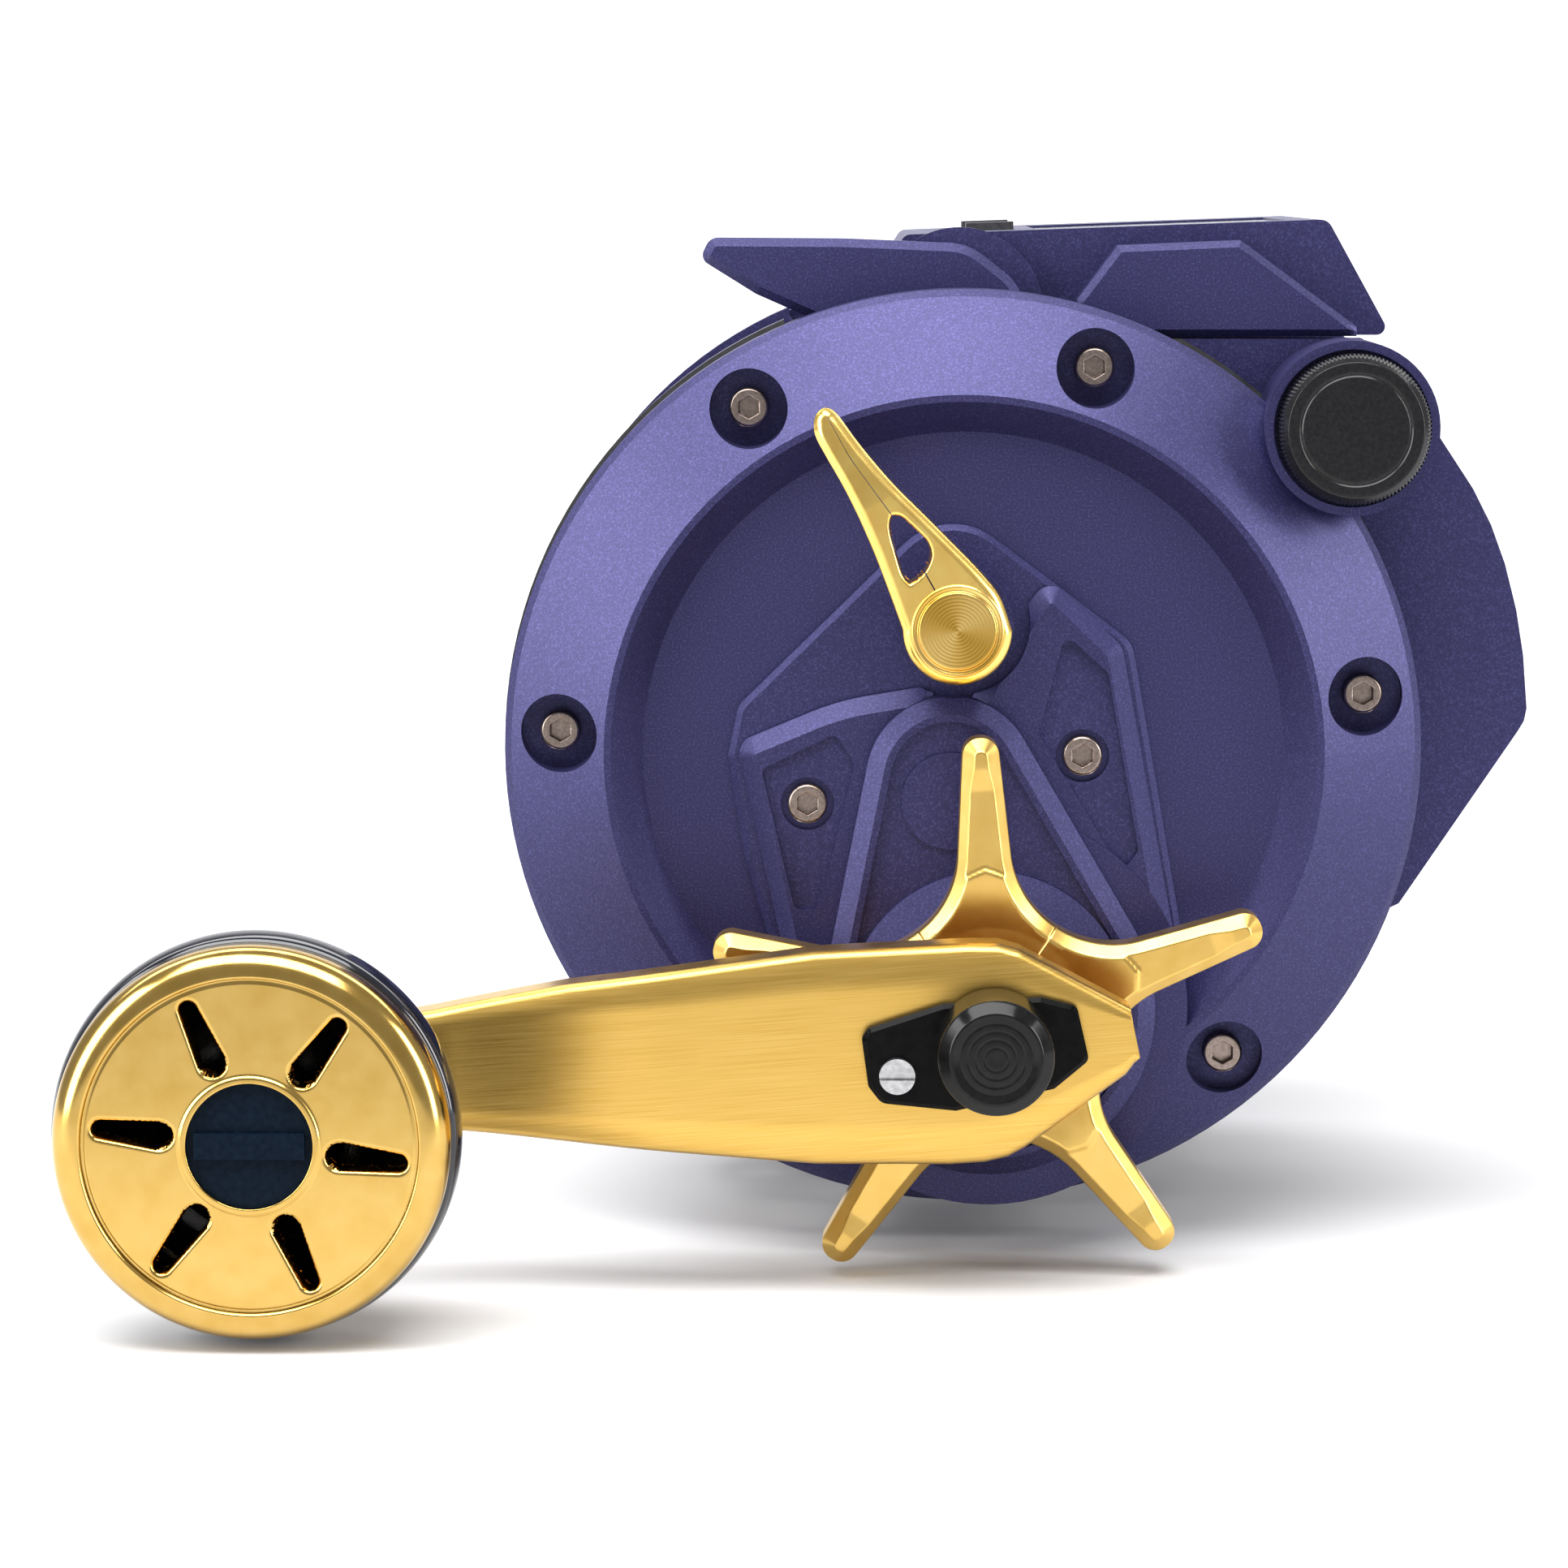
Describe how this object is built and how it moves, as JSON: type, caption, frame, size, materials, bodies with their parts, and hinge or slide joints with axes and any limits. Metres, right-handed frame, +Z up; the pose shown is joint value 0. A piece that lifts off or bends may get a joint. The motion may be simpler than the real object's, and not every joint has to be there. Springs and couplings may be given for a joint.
{
  "type": "fishing reel",
  "caption": "Powered star-drag fishing reel with a round handle side, single knob handle, clutch lever, counter head and line guide on a flat rod foot.",
  "frame": {"origin": "centre of the foot's flat seat face, under the middle of the spool", "axes": "+X forward to the rod tip, -Y to the handle side, +Z up away from the rod"},
  "size_m": [0.166, 0.157, 0.1195],
  "materials": {
    "painted_body": "satin metallic paint with fine flake",
    "frame_metal": "satin anodised",
    "gold": "gold anodised, brushed and polished",
    "spool_metal": "turned and anodised",
    "black_metal": "black anodised, glossy",
    "grip": "gloss black",
    "plug": "blue-black",
    "screw_steel": "tinted steel",
    "steel": "machined",
    "gear_brass": "machined",
    "drag_fibre": "woven carbon",
    "seal_rubber": "matt",
    "key_plastic": "matt",
    "carriage_metal": "anodised",
    "ceramic": "polished",
    "display_glass": "clear",
    "board": "solder-masked board"
  },
  "bodies": {
    "frame": {"counter_board": "board", "counter_housing": "painted_body", "counter_window": "display_glass", "cover_gaskets": "seal_rubber", "drive_shaft_bearings": "steel", "foot": "frame_metal", "foot_bridge": "frame_metal", "foot_screws": "screw_steel", "frame_pillars": "frame_metal", "frame_screws": "screw_steel", "gear_case_cover": "painted_body", "gear_case_screws": "screw_steel", "gear_studs": "steel", "guide_rod": "steel", "left_frame_plate": "painted_body", "left_side_cover": "painted_body", "left_spool_bearing": "steel", "motor_can": "steel", "motor_mount": "frame_metal", "power_socket": "key_plastic", "right_frame_plate": "painted_body", "right_side_cover": "painted_body", "right_spool_bearing": "steel", "side_cover_screws": "screw_steel"},
    "spool": {"spool": "spool_metal", "spool_shaft": "steel", "spool_ring_gear": "gear_brass"},
    "crank": {"drive_shaft": "steel", "drive_gear": "gear_brass", "drag_washers": "drag_fibre", "pressure_plate": "steel", "spring_washers": "steel", "ratchet_wheel": "steel", "handle_arm": "gold", "handle_nut": "black_metal", "nut_retainer": "black_metal", "retainer_screw": "screw_steel", "knob_spindle": "steel"},
    "star": {"star_drag": "gold"},
    "knob": {"knob_body": "grip", "knob_cap": "gold", "knob_plug": "plug"},
    "pinion": {"pinion_gear": "gear_brass"},
    "yoke": {"clutch_yoke": "steel"},
    "clutch": {"clutch_lever": "gold", "clutch_lever_cap": "gold", "clutch_cam": "steel"},
    "pawl": {"ratchet_pawl": "steel"},
    "speed": {"speed_lever": "painted_body"},
    "motor": {"motor_rotor": "steel"},
    "reduction": {"reduction_gear": "gear_brass"},
    "inner_idler": {"inner_idler_gear": "gear_brass"},
    "outer_idler": {"outer_idler_gear": "gear_brass"},
    "worm": {"level_wind_worm": "steel", "worm_gear": "gear_brass"},
    "guide": {"line_guide": "carriage_metal", "guide_ring": "ceramic"},
    "end_cap": {"level_wind_cap": "black_metal"},
    "set_key": {"set_button": "key_plastic"},
    "mode_key": {"mode_button": "key_plastic"}
  },
  "joints": [
    {"name": "spool_turn", "type": "hinge", "parent": "frame", "child": "spool", "pos_m": [0, 0, 0.046], "axis": [0, 1, 0], "continuous": true},
    {"name": "crank_turn", "type": "hinge", "parent": "frame", "child": "crank", "pos_m": [0.0029, 0, 0.0166], "axis": [0, 1, 0], "continuous": true},
    {"name": "star_drag_turn", "type": "hinge", "parent": "crank", "child": "star", "pos_m": [0.0029, 0, 0.0166], "axis": [0, 1, 0], "range_deg": [0, 300]},
    {"name": "knob_spin", "type": "hinge", "parent": "crank", "child": "knob", "pos_m": [-0.07693, 0, 0.01006], "axis": [0, 1, 0], "continuous": true},
    {"name": "yoke_shift", "type": "slide", "parent": "frame", "child": "yoke", "axis": [0, -1, 0], "range_m": [0, 0.0008]},
    {"name": "pinion_turn", "type": "hinge", "parent": "yoke", "child": "pinion", "pos_m": [0, 0, 0.046], "axis": [0, 1, 0], "continuous": true},
    {"name": "clutch_lever_turn", "type": "hinge", "parent": "frame", "child": "clutch", "pos_m": [-0.001, 0, 0.0614], "axis": [0, -1, 0], "range_deg": [0, 35]},
    {"name": "ratchet_pawl_lift", "type": "hinge", "parent": "frame", "child": "pawl", "pos_m": [-0.0141, 0, 0.0156], "axis": [0, 1, 0], "range_deg": [0, 10]},
    {"name": "speed_lever_turn", "type": "hinge", "parent": "frame", "child": "speed", "pos_m": [-0.0003, 0, 0.0966], "axis": [0, 1, 0], "range_deg": [0, 80]},
    {"name": "motor_turn", "type": "hinge", "parent": "frame", "child": "motor", "pos_m": [0, 0, 0.046], "axis": [0, 1, 0], "continuous": true},
    {"name": "reduction_turn", "type": "hinge", "parent": "frame", "child": "reduction", "pos_m": [-0.02148, 0, 0.0336], "axis": [0, 1, 0], "continuous": true},
    {"name": "inner_idler_turn", "type": "hinge", "parent": "frame", "child": "inner_idler", "pos_m": [0.01658, 0, 0.05995], "axis": [0, 1, 0], "continuous": true},
    {"name": "outer_idler_turn", "type": "hinge", "parent": "frame", "child": "outer_idler", "pos_m": [0.03244, 0, 0.07329], "axis": [0, 1, 0], "continuous": true},
    {"name": "worm_turn", "type": "hinge", "parent": "frame", "child": "worm", "pos_m": [0.0447, 0, 0.0836], "axis": [0, 1, 0], "continuous": true},
    {"name": "line_guide_slide", "type": "slide", "parent": "frame", "child": "guide", "axis": [0, 1, 0], "range_m": [-0.0195, 0.0195]},
    {"name": "end_cap_turn", "type": "hinge", "parent": "frame", "child": "end_cap", "pos_m": [0.0447, 0, 0.0836], "axis": [0, 1, 0], "range_deg": [-180, 180]},
    {"name": "set_button_press", "type": "slide", "parent": "frame", "child": "set_key", "axis": [0, 0, -1], "range_m": [0, 0.0006], "stiffness_N_per_m": 400, "springref_m": -0.0002},
    {"name": "mode_button_press", "type": "slide", "parent": "frame", "child": "mode_key", "axis": [0, 0, -1], "range_m": [0, 0.0006], "stiffness_N_per_m": 400, "springref_m": -0.0002}
  ],
  "couplings": [
    {"joint": "crank_turn", "follows": "spool_turn", "ratio": -0.45},
    {"joint": "pinion_turn", "follows": "spool_turn", "ratio": 1},
    {"joint": "reduction_turn", "follows": "spool_turn", "ratio": -4.1667},
    {"joint": "motor_turn", "follows": "spool_turn", "ratio": 17.361},
    {"joint": "inner_idler_turn", "follows": "spool_turn", "ratio": -0.91667},
    {"joint": "outer_idler_turn", "follows": "spool_turn", "ratio": 1.1},
    {"joint": "worm_turn", "follows": "spool_turn", "ratio": -1.5714},
    {"joint": "yoke_shift", "follows": "clutch_lever_turn", "m_per_rad": 0.0013083}
  ]
}
